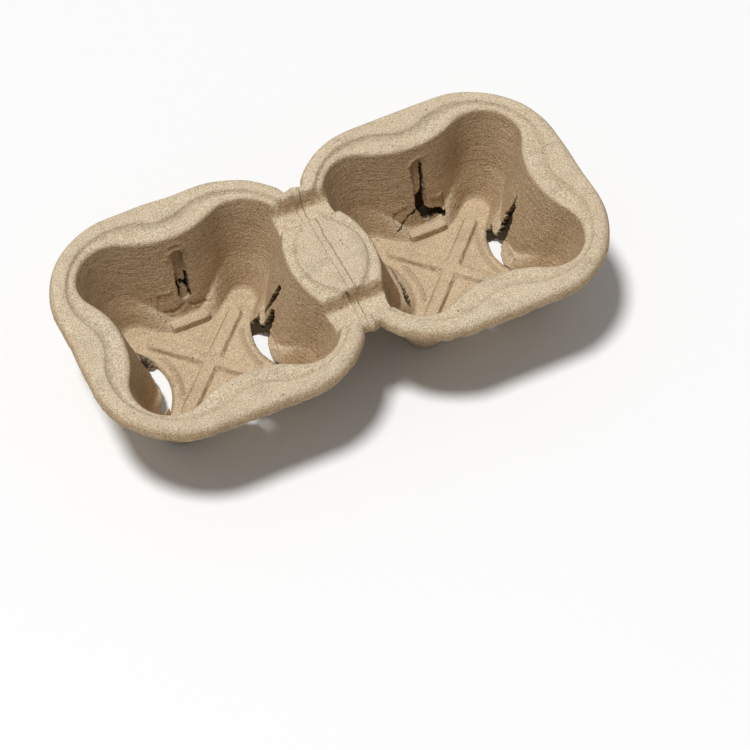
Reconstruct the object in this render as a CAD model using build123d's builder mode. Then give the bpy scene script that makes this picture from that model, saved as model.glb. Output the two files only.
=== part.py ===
"""Two-cup carrier of moulded pulp: one thin shell, the same thickness everywhere.

Frame: millimetres, +Z up, +X along the row of two cups, origin at the centre of the footprint
on the plane the carrier stands on. Two four-lobed pockets hang from one flat rim, and each
surface seen from above has its parallel on the underside.
"""
import math
import os

from build123d import *

# Overall sizes
pitch = 108.0            # between the two cup centres
cell_overlap = 2.6       # how far each cell's rounded square runs past the middle of the bridge
corner_radius = 38.1     # plan radius of the rim's corners
waist_radius = 7.0       # plan radius inside the notch between the two cells
height = 44.0            # ground to rim top
wall = 2.0               # thickness of the pulp everywhere
half_size = pitch / 2 + cell_overlap
corner_centre = half_size - corner_radius
notch_rise = (corner_radius + waist_radius) ** 2 - (pitch / 2 - corner_centre) ** 2
notch_half = corner_centre + math.sqrt(notch_rise) - waist_radius

# Rim
lip_radius = 4.0         # rounding over the outer edge
lip_drop = 5.6           # rim top to the lower edge of the lip
step_depth = 1.5         # ledge around each mouth, below the rim top
step_slope = 1.3         # plan width of the soft step down to the ledge

# Four-lobed sections: lobe centre and lobe radius in shares of the half size, then the angle
# in degrees by which a lobe turns past its quarter
mouth_radius = 2.2       # rounding from the ledge into the pocket
floor_radius = 2.4       # rounding from the wall into the floor
ledge = (0.3604 * half_size, 0.4956 * half_size, 25.0)
mouth = (0.4859 * half_size, 0.2739 * half_size, 29.0)
shoulder = (0.4205 * half_size, 0.1608 * half_size, 36.0)
floor_star = (0.4205 * half_size, shoulder[1] - floor_radius, 48.0)

# T-shaped opening in the middle of each pocket side
stem_width = 4.7
stem_top = 9.0           # rim top to the rounded end of the stem
cross_width = 25.0
cross_level = 9.0        # ground to the upper edge of the wide opening
cross_radius = 2.4

# Raised cross on each floor
rib_end_gap = 11.9       # tip of a floor lobe to the end of the rib
rib_width = 7.2
rib_rise = 1.6
rib_draft = 28.0         # degrees

# Raised bar beside the opening on the two long sides
bar_length = 17.6
bar_width = 8.4
bar_root = 1.1           # how far the bar reaches in over the floor
bar_rise = 2.4
bar_corner = 2.4
bar_draft = 9.0          # degrees
bar_wall = 1.7

# Curved rib beside the opening on the other two sides
arc_rib_gap = 4.4        # floor edge to the middle line of the rib
arc_rib_width = 1.8
arc_rib_rise = 0.8
arc_rib_turn = 38.0      # degrees

# Bridge between the cells, laid out along Y from the notch inwards
ridge_gap = 5.8          # notch to the ridge line that ends a saddle
saddle_rise = 2.5        # run of the saddle's outer slope
saddle_floor = 9.5
saddle_fall = 3.0        # run of its slope up to the pad
saddle_depth = 8.0
saddle_radius = 2.4
pad_half_width = 13.0
pad_arc = 21.0           # plan radius of the pad's two curved sides
ridge_inner = notch_half - ridge_gap
saddle_outer = ridge_inner - saddle_rise
saddle_inner = saddle_outer - saddle_floor
pad_half_length = saddle_inner - saddle_fall
saddle_reach = 14.5      # each way along X, into the pockets
score_gap = 3.0          # between the two tear lines
score_width = 0.8
score_depth = 0.6

# Derived levels, as drops below the rim top, and how far cutting solids run past a surface
floor_drop = height - wall
mouth_drop = step_depth + mouth_radius
shoulder_drop = floor_drop - floor_radius
past = 1.0
cells = [(-pitch / 2, 0, 0), (pitch / 2, 0, 0)]


def arc_between(lobe):
    """Radius of the hollow arc that joins two lobes, and how far off its centre lies."""
    c, r, turn = lobe[0], lobe[1], math.radians(lobe[2])
    return c / math.sin(turn) - r, c + c / math.tan(turn)


def lobed(drop, lobe, grow=0.0):
    """Four lobes joined by four hollow sides, all tangent, at a depth under the rim top."""
    c, r, turn = lobe[0], lobe[1] + grow, math.radians(lobe[2])
    hollow, far = arc_between((c, r, lobe[2]))
    dip = far - hollow
    tip = c + r * math.sqrt(0.5)
    ax, ay = c + r * math.cos(turn), c - r * math.sin(turn)
    with BuildSketch(Plane.XY.offset(height - drop)) as face:
        with BuildLine():
            ThreePointArc((ax, ay), (tip, tip), (ay, ax))
            ThreePointArc((ay, ax), (0, dip), (-ay, ax))
            ThreePointArc((-ay, ax), (-tip, tip), (-ax, ay))
            ThreePointArc((-ax, ay), (-dip, 0), (-ax, -ay))
            ThreePointArc((-ax, -ay), (-tip, -tip), (-ay, -ax))
            ThreePointArc((-ay, -ax), (0, -dip), (ay, -ax))
            ThreePointArc((ay, -ax), (tip, -tip), (ax, -ay))
            ThreePointArc((ax, -ay), (dip, 0), (ax, ay))
        make_face()
    return face.sketch


def blend(start, end, share):
    """Lobe sizes part of the way from one section to the next."""
    return tuple(p + (q - p) * share for p, q in zip(start, end))


def wall_sections(skin, first_drop):
    """Sections down the drafted wall, from the mouth to halfway to the shoulder."""
    sections = []
    for drop in (first_drop, (mouth_drop + shoulder_drop) / 2):
        share = (drop - mouth_drop) / (shoulder_drop - mouth_drop)
        sections.append(lobed(drop, blend(mouth, shoulder, share), skin))
    return sections


def foot_sections(skin):
    """Sections that turn the wall into the floor, spaced evenly round the bend."""
    bend = floor_radius + skin
    steps = 4
    sections = []
    for k in range(steps + 1):
        a = math.radians(90 * k / steps)
        c, r, turn = blend(shoulder, floor_star, k / steps)
        r = shoulder[1] + skin - bend * (1 - math.cos(a))
        sections.append(lobed(shoulder_drop + bend * math.sin(a), (c, r, turn)))
    return sections


def mouth_sections():
    """Sections that turn the ledge into the wall, down to the last one above it."""
    steps = 3
    sections = []
    for k in range(steps, 0, -1):
        a = math.radians(90 * k / steps)
        sections.append(lobed(mouth_drop - mouth_radius * math.sin(a), mouth,
                              mouth_radius * (1 - math.cos(a))))
    return sections


def outline(inset):
    """Plan of the rim: two rounded squares run together, the notch between them rounded."""
    side = 2 * (half_size - inset)
    with BuildSketch() as plan:
        with Locations((-pitch / 2, 0), (pitch / 2, 0)):
            RectangleRounded(side, side, corner_radius - inset)
        fillet([v for v in plan.vertices() if abs(v.X) < 0.01], waist_radius + inset)
    return plan.sketch


def lens(drop):
    """Plan of the raised pad, two arcs across the bridge, wider the lower it is cut."""
    radius = pad_arc + step_slope * drop / step_depth
    with BuildSketch(Plane.XY.offset(height - drop)) as face:
        with Locations((pad_half_width - pad_arc, 0)):
            Circle(radius)
        with Locations((pad_arc - pad_half_width, 0)):
            Circle(radius, mode=Mode.INTERSECT)
    return face.sketch


def saddle_form(deeper=0.0):
    """Section of the space over one saddle, rounded where the pulp turns, as (Y, Z)."""
    top, rim = height + past, height - deeper
    foot = rim - saddle_depth
    start, end = pad_half_length - 2 * saddle_radius, ridge_inner + saddle_radius
    with BuildSketch(Plane.YZ) as face:
        with BuildLine():
            Polyline((start, top), (start, rim), (pad_half_length, rim), (saddle_inner, foot),
                     (saddle_outer, foot), (ridge_inner, rim), (end, rim), (end, top),
                     close=True)
        make_face()
        soft = [v for v in face.vertices()
                if v.Y < height + past / 2 and start + 0.1 < v.X < end - 0.1]
        fillet(soft, saddle_radius)
    return face


# Rim: a flat band with a rounded lip, open underneath
with BuildPart() as under_rim:
    extrude(outline(wall), amount=lip_drop - wall)
    fillet(under_rim.faces().sort_by(Axis.Z)[-1].edges(), lip_radius - wall)
with BuildPart() as rim:
    extrude(outline(0), amount=lip_drop)
    fillet(rim.faces().sort_by(Axis.Z)[-1].edges(), lip_radius)
    add(under_rim.part, mode=Mode.SUBTRACT)

# Space inside one pocket, and the solid whose outside is its underside
with BuildPart() as pocket_space:
    loft(mouth_sections() + wall_sections(0, mouth_drop) + foot_sections(0), ruled=True)
with BuildPart() as pocket_skin:
    loft(wall_sections(wall, step_depth) + foot_sections(wall), ruled=True)

# Ledge round one mouth: the space over it, and the skin under it
with BuildPart() as ledge_space:
    rise = step_slope * (step_depth + past) / step_depth
    loft([lobed(step_depth, ledge), lobed(-past, ledge, rise)], ruled=True)
with BuildPart() as ledge_skin:
    extrude(lobed(step_depth + wall, ledge, wall), amount=wall + step_depth / 2)

# Raised pad left standing between the two ledges
with BuildPart() as pad:
    loft([lens(step_depth + past / 2), lens(-1.5 * past)], ruled=True)

# Saddles before and behind the pad
with BuildPart() as saddle_space:
    extrude(saddle_form().sketch, amount=saddle_reach, both=True)
    mirror(about=Plane.XZ)

# Skin under the saddles, solid out to the lip in the notch
with BuildPart() as saddle_skin:
    with BuildSketch(Plane.YZ):
        add(saddle_form().sketch_local)
        offset(amount=wall)
        with Locations((0, height - wall / 2)):
            Rectangle(2 * half_size, height, align=(Align.CENTER, Align.MAX),
                      mode=Mode.INTERSECT)
        with Locations((ridge_inner, height - wall / 2)):
            Rectangle(notch_half - wall / 2 - ridge_inner, lip_drop - wall / 2,
                      align=(Align.MIN, Align.MAX))
    extrude(amount=saddle_reach - wall, both=True)
    mirror(about=Plane.XZ)

# T-shaped opening in one side, pushed out from the cup's centre; the floor star stays whole
with BuildPart() as slot_space:
    stem_foot = height - cross_level + cross_radius
    below = cross_radius + past
    with BuildSketch(Plane.YZ):
        with Locations((0, height - (stem_top + stem_foot) / 2)):
            SlotOverall(stem_foot - stem_top, stem_width, rotation=90)
        with Locations((0, (cross_level - below) / 2)):
            RectangleRounded(cross_width, cross_level + below, cross_radius)
    extrude(amount=half_size - lip_drop)
    extrude(lobed(height + 2 * below, floor_star), amount=cross_level + 3 * below,
            mode=Mode.SUBTRACT)

# Raised relief of one floor, and the hollows under it
floor_tip = floor_star[0] * math.sqrt(2) + floor_star[1]
hollow_arc, hollow_far = arc_between(floor_star)
floor_side = hollow_far - hollow_arc
rib_length = 2 * (floor_tip - rib_end_gap)
rib_root = wall / 2
bar_middle = floor_side - bar_root + bar_width / 2
with BuildPart() as relief:
    for lean in (45, 135):
        with BuildSketch(Plane.XY.offset(wall - rib_root)):
            SlotOverall(rib_length, rib_width + rib_root, rotation=lean)
        extrude(amount=rib_rise + rib_root, taper=rib_draft)
    for side in (-1, 1):
        with BuildSketch():
            with Locations((0, side * bar_middle)):
                RectangleRounded(bar_length, bar_width, bar_corner)
        extrude(amount=wall + bar_rise, taper=bar_draft)
with BuildPart() as hollows:
    for lean in (45, 135):
        with BuildSketch(Plane.XY.offset(-past)):
            SlotOverall(rib_length - 1.5 * wall, rib_width - wall / 2, rotation=lean)
        extrude(amount=past + rib_rise, taper=0.8 * rib_draft)
    for side in (-1, 1):
        with BuildSketch(Plane.XY.offset(-past)):
            with Locations((0, side * bar_middle)):
                RectangleRounded(bar_length - 2 * bar_wall, bar_width - 2 * bar_wall,
                                 bar_corner - bar_wall / 2)
        extrude(amount=past + bar_rise, taper=bar_draft)

# Thin curved ribs beside the two open sides of one floor
with BuildPart() as arc_ribs:
    radius = hollow_far - floor_side + arc_rib_gap
    half_turn = arc_rib_turn / 2
    with BuildSketch(Plane.XY.offset(wall / 2)):
        SlotArc(CenterArc((hollow_far, 0), radius, 180 - half_turn, arc_rib_turn),
                arc_rib_width)
        SlotArc(CenterArc((-hollow_far, 0), radius, -half_turn, arc_rib_turn), arc_rib_width)
    extrude(amount=wall / 2 + arc_rib_rise)

# One tear line across the bridge, sunk into whatever surface is there
with BuildPart() as score_space:
    extrude(saddle_form(score_depth).sketch, amount=score_width / 2, both=True)
    mirror(about=Plane.XZ)
    with Locations((0, 0, height - score_depth)):
        Box(score_width, 2 * (pad_half_length - saddle_radius), past + score_depth,
            align=(Align.CENTER, Align.CENTER, Align.MIN))

# Everything open from above, as one space
with BuildPart() as space:
    with Locations(*cells):
        add(ledge_space.part)
    add(pad.part, mode=Mode.SUBTRACT)
    with Locations(*cells):
        add(pocket_space.part)
    add(saddle_space.part)

# The carrier
with BuildPart() as cup_carrier:
    with Locations((0, 0, height - lip_drop)):
        add(rim.part)
    with Locations(*cells):
        add(ledge_skin.part)
        add(pocket_skin.part)
    add(saddle_skin.part)
    add(space.part, mode=Mode.SUBTRACT)
    for x, y, z in cells:
        for quarter in range(4):
            with Locations(Location((x, y, z), (0, 0, 90 * quarter))):
                add(slot_space.part, mode=Mode.SUBTRACT)
    with Locations(*cells):
        add(relief.part)
        add(arc_ribs.part)
        add(hollows.part, mode=Mode.SUBTRACT)
    with Locations((-score_gap / 2, 0, 0), (score_gap / 2, 0, 0)):
        add(score_space.part, mode=Mode.SUBTRACT)

cup_carrier.part.label = "cup_carrier"
os.makedirs("parts", exist_ok=True)
export_step(cup_carrier.part, "parts/cup_carrier.step")

box = cup_carrier.part.bounding_box()
print("cup_carrier", [round(v, 2) for v in (*box.min, *box.max)], "mm",
      "volume", round(cup_carrier.part.volume / 1000, 2), "cm3",
      "solids", len(cup_carrier.part.solids()), "valid", cup_carrier.part.is_valid)
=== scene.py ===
# %% [markdown]
# # A two-cup carrier of moulded pulp
#
# A carrier like this is one sheet of pulp. A wire mould is dipped in a slurry of waste paper, water
# is sucked through it, and the fibres that stay behind take its shape: one skin about two
# millimetres thick, with the same folds on its top and on its underside. So the model is made the
# same way, as one surface that is then given its thickness, and not as separate walls.
#
# The packed CAD model gives the place and the size of everything. It is loaded first, and its box
# is kept, and the sizes below come from it.

# %% Load the packed carrier
import math

import bmesh
import bpy
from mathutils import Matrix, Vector, noise


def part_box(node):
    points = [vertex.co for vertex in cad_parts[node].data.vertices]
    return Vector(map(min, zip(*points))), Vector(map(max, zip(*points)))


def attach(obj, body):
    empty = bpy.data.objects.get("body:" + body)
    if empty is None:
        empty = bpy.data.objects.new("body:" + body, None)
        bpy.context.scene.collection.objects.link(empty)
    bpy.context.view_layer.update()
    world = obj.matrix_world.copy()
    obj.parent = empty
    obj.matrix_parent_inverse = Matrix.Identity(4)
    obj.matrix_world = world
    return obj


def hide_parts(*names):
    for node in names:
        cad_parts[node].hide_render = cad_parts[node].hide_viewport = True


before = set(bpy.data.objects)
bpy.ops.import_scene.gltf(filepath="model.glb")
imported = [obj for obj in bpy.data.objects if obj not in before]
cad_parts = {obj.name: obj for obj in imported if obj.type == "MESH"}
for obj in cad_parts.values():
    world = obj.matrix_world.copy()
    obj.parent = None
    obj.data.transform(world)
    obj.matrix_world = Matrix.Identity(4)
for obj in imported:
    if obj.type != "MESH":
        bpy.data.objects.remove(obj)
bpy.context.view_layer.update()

LOW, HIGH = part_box("cup_carrier")
MM = 0.001
print("CAD box in mm:", [round(v / MM, 1) for v in (*LOW, *HIGH)])

# %% [markdown]
# ## Sizes
#
# The carrier has two square cells with big round corners, side by side. The lengths below are in
# millimetres, because that is how a pulp mould is drawn, and the trees turn them into metres at the
# end. Heights are counted from the flat rim downwards, so the rim's top is zero.
#
# A pocket is a four-lobed shape: four round lobes joined by four hollow sides. One such section
# needs three numbers: how far the lobe's centre is from the cup's centre, along X and along Y alike,
# the lobe's radius, and the angle by which the lobe turns past its quarter before the hollow starts.
#
# Between the floor and the steep wall lies a foot, a slope whose height differs round the cup: it is
# low on the sides, lowest behind the floor's bars, and tall at the lobes, where the wall runs almost
# straight down.

# %% The carrier's driving sizes
LENGTH, WIDTH, HEIGHT = ((HIGH[k] - LOW[k]) / MM for k in range(3))
HALF_SIZE = WIDTH / 2
PITCH = LENGTH - WIDTH
CELLS = (-PITCH / 2, PITCH / 2)
CORNER_RADIUS = 38.1
WAIST_RADIUS = 7.0
WALL = 2.0
LIP_RADIUS = 4.0
LIP_DROP = 5.6
STEP_DEPTH = 1.5
STEP_SLOPE = 1.3
LEDGE = (0.3604 * HALF_SIZE, 0.4956 * HALF_SIZE, 25.0)
MOUTH = (0.4859 * HALF_SIZE, 0.2739 * HALF_SIZE, 29.0)
SHOULDER = (0.4205 * HALF_SIZE, 0.1608 * HALF_SIZE, 36.0)
FLOOR_TURN = 48.0
MOUTH_RADIUS = 2.2
FLOOR_RADIUS = 2.4
FLOOR_LOBE = 6.1
SIDE_FOOT = 4.5
BAR_FOOT = 2.2
LOBE_FOOT = 15.0
FOOT_TURNS = (0.22, 0.62)
PAD_HALF_WIDTH = 13.0
PAD_ARC = 21.0
FLOOR_LEVEL = WALL - HEIGHT
WALL_FALL = -FLOOR_LEVEL - FLOOR_RADIUS - STEP_DEPTH - MOUTH_RADIUS
print(f"cells {WIDTH:.1f} mm square, {PITCH:.1f} mm apart, {HEIGHT:.1f} mm high")

# %% [markdown]
# ## A short way to write node trees
#
# The shape and the finish of the carrier are both sums: the shape is a sum in a Geometry Nodes
# tree, the finish is one in a shader tree. Placing each Math node by hand hides the sum. So a small
# class stands for a socket, and plus, minus, times and the rest add the Math node themselves. Every
# other node comes from one method, which takes its type, its settings and its sockets.

# %% Sockets that can be added and multiplied
class Socket:
    """One output of a node, which can be used in a sum like a number."""

    def __init__(self, graph, socket):
        self.graph = graph
        self.socket = socket

    def math(self, operation, *others):
        return self.graph.math(operation, self, *others)

    def __add__(self, other):
        return self.math("ADD", other)

    __radd__ = __add__

    def __sub__(self, other):
        return self.math("SUBTRACT", other)

    def __rsub__(self, other):
        return self.graph.math("SUBTRACT", other, self)

    def __mul__(self, other):
        return self.math("MULTIPLY", other)

    __rmul__ = __mul__

    def __truediv__(self, other):
        return self.math("DIVIDE", other)

    def __rtruediv__(self, other):
        return self.graph.math("DIVIDE", other, self)

    def __neg__(self):
        return self.math("MULTIPLY", -1.0)

    def __abs__(self):
        return self.math("ABSOLUTE")

    def __gt__(self, other):
        return self.math("GREATER_THAN", other)


print("sockets can be added, multiplied and compared")

# %% [markdown]
# ## Nodes from one method
#
# The tree itself is wrapped too. Its one method for nodes sets a node's settings before its sockets,
# because a setting can change which sockets the node has. A few more methods stand for what comes up
# again and again: a ramp, a run of straight stretches, and a blend of two values.

# %% The graph that holds the nodes
class Graph:
    """A node tree to which nodes are added one line at a time."""

    def __init__(self, tree):
        self.tree = tree

    def node(self, kind, settings=None, sockets=None, output=0):
        item = self.tree.nodes.new(kind)
        for name, value in (settings or {}).items():
            if name == "stops":
                self.set_stops(item.color_ramp, value)
            else:
                setattr(item, name, value)
        for name, value in (sockets or {}).items():
            links = value if isinstance(value, list) else [value]
            for link in links:
                if isinstance(link, Socket):
                    self.tree.links.new(link.socket, item.inputs[name])
                else:
                    item.inputs[name].default_value = link
        return Socket(self, item.outputs[output]) if item.outputs else None

    @staticmethod
    def set_stops(ramp, stops):
        while len(ramp.elements) < len(stops):
            ramp.elements.new(1.0)
        for element, (place, colour) in zip(ramp.elements, stops):
            element.position = place
            element.color = colour

    def math(self, operation, *values):
        return self.node("ShaderNodeMath", {"operation": operation}, dict(enumerate(values)))

    def ramp(self, value, start, end, low=0.0, high=1.0, soft=False):
        """Value goes from low to high while the first value goes from start to end."""
        kind = "SMOOTHSTEP" if soft else "LINEAR"
        return self.node("ShaderNodeMapRange", {"interpolation_type": kind},
                         {"Value": value, "From Min": start, "From Max": end,
                          "To Min": low, "To Max": high})

    def stations(self, value, places):
        """Straight runs from one (value, result) pair to the next."""
        total = places[0][1]
        for (start, low), (end, high) in zip(places, places[1:]):
            total = self.ramp(value, start, end, 0.0, high - low) + total
        return total

    def mix(self, share, first, second):
        return first + (second - first) * share

    def vector(self, x=0.0, y=0.0, z=0.0):
        return self.node("ShaderNodeCombineXYZ", {}, {"X": x, "Y": y, "Z": z})

    def axes(self, vector):
        """The three numbers of a vector."""
        item = self.node("ShaderNodeSeparateXYZ", {}, {"Vector": vector}).socket.node
        return [Socket(self, item.outputs[k]) for k in range(3)]


print("graph methods:", [name for name in vars(Graph) if not name.startswith("_")])

# %% [markdown]
# ## Trees that make shapes
#
# A shape tree has a named input for each of its sizes, so that it could be set by hand in the
# modifier panel. Its result is turned into a plain mesh straight away, because everything after it,
# such as tearing the openings, works on points and faces.

# %% Start, end and result of a shape tree
def shape_tree(name, sizes):
    """An empty Geometry Nodes tree with one named input per size, and its graph and inputs."""
    tree = bpy.data.node_groups.new(name, "GeometryNodeTree")
    tree.interface.new_socket("Geometry", in_out="OUTPUT", socket_type="NodeSocketGeometry")
    for label, value in sizes.items():
        socket = tree.interface.new_socket(label, in_out="INPUT", socket_type="NodeSocketFloat")
        socket.default_value = value
    tree.interface.new_socket("Material", in_out="INPUT", socket_type="NodeSocketMaterial")
    g = Graph(tree)
    entry = tree.nodes.new("NodeGroupInput")
    return tree, g, {item.name: Socket(g, item) for item in entry.outputs if item.name}


def finish_tree(g, shape, material):
    """Millimetres under the rim become metres above the ground, and the tree gets its output."""
    shape = g.node("GeometryNodeTransform", {}, {"Geometry": shape, "Scale": (MM, MM, MM),
                                                 "Translation": (0, 0, HEIGHT * MM)})
    shape = g.node("GeometryNodeRealizeInstances", {}, {"Geometry": shape})
    shape = g.node("GeometryNodeSetMaterial", {}, {"Geometry": shape, "Material": material})
    g.node("NodeGroupOutput", {}, {"Geometry": shape})


def grown_mesh(tree, values, name):
    """The mesh that a Geometry Nodes tree makes, as plain data."""
    carrier = bpy.data.objects.new(name, bpy.data.meshes.new(name))
    bpy.context.scene.collection.objects.link(carrier)
    modifier = carrier.modifiers.new("grow", "NODES")
    modifier.node_group = tree
    for item in tree.interface.items_tree:
        if item.in_out == "INPUT" and item.name in values:
            modifier[item.identifier] = values[item.name]
    bpy.context.view_layer.update()
    result = carrier.evaluated_get(bpy.context.evaluated_depsgraph_get())
    mesh = bpy.data.meshes.new_from_object(result)
    mesh.name = name
    carrier.modifiers.remove(modifier)
    bpy.data.objects.remove(carrier)
    return mesh


# %% [markdown]
# ## The sheet's plan
#
# Seen from above, each cell is drawn round its cup's centre. A point is named by two numbers: its
# turn about that centre, and the row it lies on. Row by row the sheet runs from the middle of the
# floor outwards, up the wall, over the rounded mouth, across the ledge, up the small step, over the
# flat rim and down the lip. Along each row, the turn goes round the cup.
#
# The columns stand closer together beside the openings and across the saddles, and the floor's rows
# where its ribs are, so lists of stations say which turn each column has, and how far out each of
# the floor's rows is. Between the two cells the rim's edge has a round waist, and it starts at a
# turn that follows from the two circles that meet there.

# %% Rows and columns of the sheet
ROW_COUNTS = {"floor": 20, "foot": 8, "wall": 20, "mouth": 4, "ledge": 2,
              "step": 2, "rim": 4, "lip": 5, "skirt": 2}
ROW_SPANS = {}
row = 0
for part, count in ROW_COUNTS.items():
    ROW_SPANS[part] = (row, row + count)
    row += count
FLOOR_ROWS = [(0, 0.0), (4, 0.46), (17, 0.88), (20, 1.0)]
WAIST_CENTRE = math.sqrt((CORNER_RADIUS + WAIST_RADIUS) ** 2
                         - (PITCH / 2 - HALF_SIZE + CORNER_RADIUS) ** 2) + HALF_SIZE - CORNER_RADIUS
NOTCH_Y = WAIST_CENTRE - WAIST_RADIUS - LIP_RADIUS
NOTCH_TURN = 180 - math.degrees(math.atan2(NOTCH_Y, PITCH / 2))
OUTER_COLUMNS = [(0, 0), (4, 6), (12, 24), (32, 66), (41, 84), (49, 96), (57, 114),
                 (75, NOTCH_TURN)]
BRIDGE_COLUMNS = [(0, NOTCH_TURN), (16, 163.5), (22, 174), (26, 180)]
KNEE = HALF_SIZE - CORNER_RADIUS
WAIST_SHARE = (WAIST_RADIUS + LIP_RADIUS) / (CORNER_RADIUS + WAIST_RADIUS)
WAIST_START = math.atan2(WAIST_CENTRE - (WAIST_CENTRE - KNEE) * WAIST_SHARE,
                         -(PITCH / 2 - (PITCH / 2 - KNEE) * WAIST_SHARE))
print("rows:", row, "columns:", OUTER_COLUMNS[-1][0] + BRIDGE_COLUMNS[-1][0])

# %% [markdown]
# ## The lobed sections
#
# The distance from the cup's centre to a lobed section depends only on how far the turn is from the
# nearest side's middle. Up to the point where a lobe starts, the section is a hollow arc whose
# centre lies outside, and after it, it is the lobe's own arc. Both are a ray meeting a circle.

# %% Distance to a lobed section, to the pad and to the rim's edge
def ray_to_lobes(g, fold, centre, radius, lean):
    """Distance to a four-lobed section; fold is the turn from the nearest side's middle."""
    sine, cosine = g.math("SINE", lean), g.math("COSINE", lean)
    hollow = centre / sine - radius
    far = centre * (1.0 + cosine / sine)
    meet = g.math("ARCTAN2", centre - radius * sine, centre + radius * cosine)
    sine, cosine = g.math("SINE", fold), g.math("COSINE", fold)
    within = g.math("MAXIMUM", hollow * hollow - far * far * sine * sine, 0.0)
    inner = far * cosine - g.math("SQRT", within)
    within = radius * radius - centre * centre * (cosine - sine) * (cosine - sine)
    outer = centre * (cosine + sine) + g.math("SQRT", g.math("MAXIMUM", within, 0.0))
    return g.mix(g.math("GREATER_THAN", fold, meet), inner, outer)


def ray_to_circle(g, along, distance, radius):
    """Distance to the near side of a circle, or a very long one where the ray misses it."""
    within = along * along - (distance * distance - radius * radius)
    hit = along - g.math("SQRT", g.math("MAXIMUM", within, 0.0))
    return g.mix((within > 0.0) * (along > 0.0), 1000.0, hit)


def ray_to_corner(g, fold, square, bow):
    """Distance to a rounded square with corners of radius bow."""
    knee = square - bow
    sine, cosine = g.math("SINE", fold), g.math("COSINE", fold)
    within = bow * bow - knee * knee * (cosine - sine) * (cosine - sine)
    corner = knee * (cosine + sine) + g.math("SQRT", g.math("MAXIMUM", within, 0.0))
    return g.mix(g.math("GREATER_THAN", square * sine, knee * cosine), square / cosine, corner)


# %% [markdown]
# ## The saddles of the bridge
#
# The bridge has a saddle before and behind its pad: there the sheet dips, so that a thumb can tear
# the carrier in two. Away from the saddles the level that the sheet may not rise above is simply
# higher than the rim, so one smooth minimum presses both saddles into the sheet.

# %% Level of the saddles
SADDLE_INNER = (17.0, 22.2)
SADDLE_OUTER = (30.4, 35.2)
SADDLE_HALF = (15.0, 19.0)
SADDLE_TOP = 4.0
SADDLE_DEPTH = 12.0
SADDLE_ROUNDING = 2.0


def saddle_level(g, x, y):
    """The level that the sheet may not rise above near the bridge."""
    dip = g.ramp(y, *SADDLE_INNER, soft=True) * g.ramp(y, *SADDLE_OUTER, 1.0, 0.0, soft=True)
    return SADDLE_TOP - SADDLE_DEPTH * dip * g.ramp(x, *SADDLE_HALF, 1.0, 0.0, soft=True)


print("saddles reach", SADDLE_DEPTH - SADDLE_TOP, "mm under the rim")

# %% [markdown]
# ## How far out a row lies
#
# Up to the mouth a row follows the pocket's section, which changes from the floor's small lobes to
# the mouth's wide ones. At the step it follows the ledge or the pad's arc, whichever is nearer to the
# cup. At the edge it follows the rounded square, then the waist, and across the bridge the middle
# line between the cells.

# %% Distances of the pocket, the step and the rim's edge
def pocket_reach(g, size, part, fold, curl, rise):
    """Distance from the cup's centre to the pocket's wall."""
    fallen = (1.0 - (rise - FLOOR_RADIUS) / WALL_FALL) * (1.0 - part["wall"])
    centre = g.mix(fallen, size["Mouth lobe centre"], size["Foot lobe centre"])
    centre = g.mix(part["foot"], SHOULDER[0], centre)
    radius = g.mix(fallen, size["Mouth lobe radius"], size["Foot lobe radius"])
    radius = g.mix(part["foot"], size["Floor lobe radius"], radius)
    radius = radius + MOUTH_RADIUS * (1.0 - g.math("COSINE", curl))
    lean = math.radians(MOUTH[2]) + math.radians(SHOULDER[2] - MOUTH[2]) * fallen
    lean = g.mix(part["foot"], math.radians(FLOOR_TURN), lean)
    return ray_to_lobes(g, fold, centre, radius, lean)


def step_reach(g, size, fold, cosine, grown):
    """Distance to the step round the ledge and the pad, grown from its foot towards its top."""
    ledge = ray_to_lobes(g, fold, size["Ledge lobe centre"], size["Ledge lobe radius"] + grown,
                         math.radians(LEDGE[2]))
    far_arc = size["Pitch"] / 2 + PAD_ARC - PAD_HALF_WIDTH
    pad = ray_to_circle(g, -far_arc * cosine, far_arc, PAD_ARC + STEP_SLOPE - grown)
    return g.math("MINIMUM", ledge, pad)


def edge_reach(g, size, turn, fold, sine, cosine):
    """Distance to the edge of the flat rim, or across the bridge to its middle line."""
    square = size["Half size"] - LIP_RADIUS
    edge = ray_to_corner(g, fold, square, size["Corner radius"] - LIP_RADIUS)
    towards = WAIST_CENTRE * sine - (PITCH / 2) * cosine
    waist = ray_to_circle(g, towards, math.hypot(PITCH / 2, WAIST_CENTRE), WAIST_RADIUS + LIP_RADIUS)
    edge = g.math("MINIMUM", edge, waist)
    bridge = g.math("GREATER_THAN", turn, math.radians(NOTCH_TURN) - 0.0001)
    return g.mix(bridge, edge, (-PITCH / 2) / g.math("MINIMUM", cosine, -0.01))


def out_of_rim(g, size, turn, x, y):
    """The way straight out from the rim's edge, along X and along Y."""
    knee = size["Half size"] - size["Corner radius"]
    in_waist = g.math("GREATER_THAN", turn, WAIST_START)
    nx = g.math("SIGN", x) * g.math("MAXIMUM", abs(x) - knee, 0.0)
    nx = g.mix(in_waist, nx, -PITCH / 2 - x)
    ny = g.mix(in_waist, g.math("MAXIMUM", y - knee, 0.0), WAIST_CENTRE - y)
    length = g.math("MAXIMUM", g.math("SQRT", nx * nx + ny * ny), 0.001)
    return nx / length, ny / length


# %% [markdown]
# ## The sheet itself
#
# Each half cell is a flat grid whose points are all moved to their place by those distances and a
# height. Two grids are needed, because the rim's edge runs along the outside of the cell, but across
# the bridge it runs straight on to the next cell, with no lip. The lip's curl carries a row on
# outwards, square to the rim's edge.

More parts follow.
